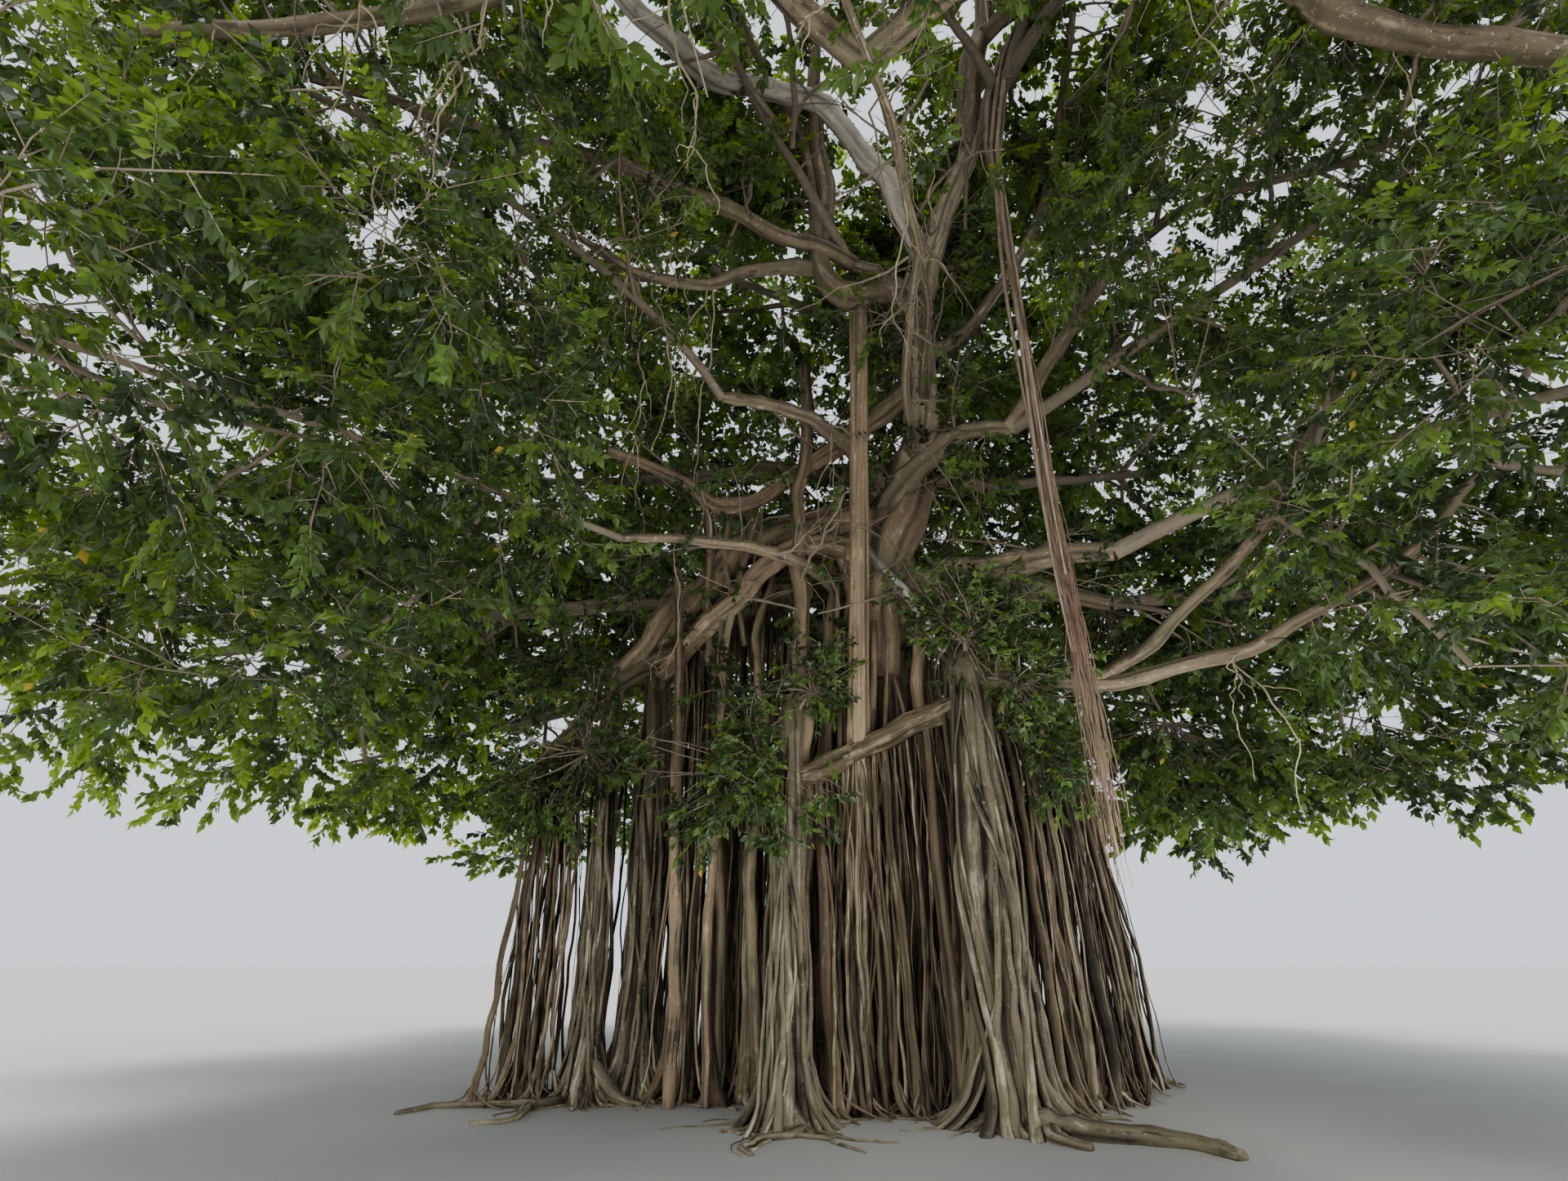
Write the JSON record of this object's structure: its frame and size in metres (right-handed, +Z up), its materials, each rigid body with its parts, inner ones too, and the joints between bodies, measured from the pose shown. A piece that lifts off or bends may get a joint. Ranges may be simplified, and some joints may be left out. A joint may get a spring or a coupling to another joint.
{
  "type": "banyan tree",
  "caption": "Banyan tree: a fluted trunk inside a ring of pillar roots and hanging root curtains, with spreading boughs and a wide domed crown of leafy masses.",
  "frame": {"origin": "middle of the flat cut under the trunk, on the level ground", "axes": "+Z up along the height, +X to the right and +Y away from the viewer as pictured"},
  "size_m": [29.9215, 29.6856, 19.17],
  "materials": {
    "bark": "matte, grey-tan, fluted",
    "root_bark": "matte, reddish brown, stringy",
    "leaf": "dark green, semi-gloss"
  },
  "bodies": {
    "root": {"trunk": "bark", "bough_top_front_right": "bark", "bough_low_left_front": "bark", "bough_low_left": "bark", "bough_low_left_back": "bark", "bough_low_back_left": "bark", "bough_low_back_right": "bark", "bough_low_right_back": "bark", "bough_low_right": "bark", "bough_low_right_front": "bark", "bough_mid_left_front": "bark", "bough_mid_left": "bark", "bough_mid_back_left": "bark", "bough_mid_back_right": "bark", "bough_mid_right": "bark", "bough_mid_right_front": "bark", "bough_top_front_left": "bark", "bough_top_back_left": "bark", "bough_top_back_right": "bark", "bough_front_mid": "bark", "bough_front_low": "bark", "pillar_left_outer": "bark", "pillar_left_inner": "bark", "pillar_front": "bark", "pillar_right": "bark", "pillar_back_left": "bark", "pillar_back_right": "bark", "prop_centre": "bark", "prop_right": "bark", "curtain_left": "root_bark", "curtain_mid_left": "root_bark", "curtain_front": "root_bark", "curtain_right": "root_bark", "curtain_far_right": "root_bark", "curtain_back_left": "root_bark", "curtain_back_right": "root_bark", "hanging_roots": "root_bark", "crown_top_front_right": "leaf", "crown_low_left_front": "leaf", "crown_low_left": "leaf", "crown_low_left_back": "leaf", "crown_low_back_left": "leaf", "crown_low_back_right": "leaf", "crown_low_right_back": "leaf", "crown_low_right": "leaf", "crown_low_right_front": "leaf", "crown_mid_left_front": "leaf", "crown_mid_left": "leaf", "crown_mid_back_left": "leaf", "crown_mid_back_right": "leaf", "crown_mid_right": "leaf", "crown_mid_right_front": "leaf", "crown_top_front_left": "leaf", "crown_top_back_left": "leaf", "crown_top_back_right": "leaf", "crown_front_mid": "leaf", "crown_front_low": "leaf", "clump_left": "leaf", "clump_front": "leaf", "clump_right": "leaf"}
  },
  "joints": []
}
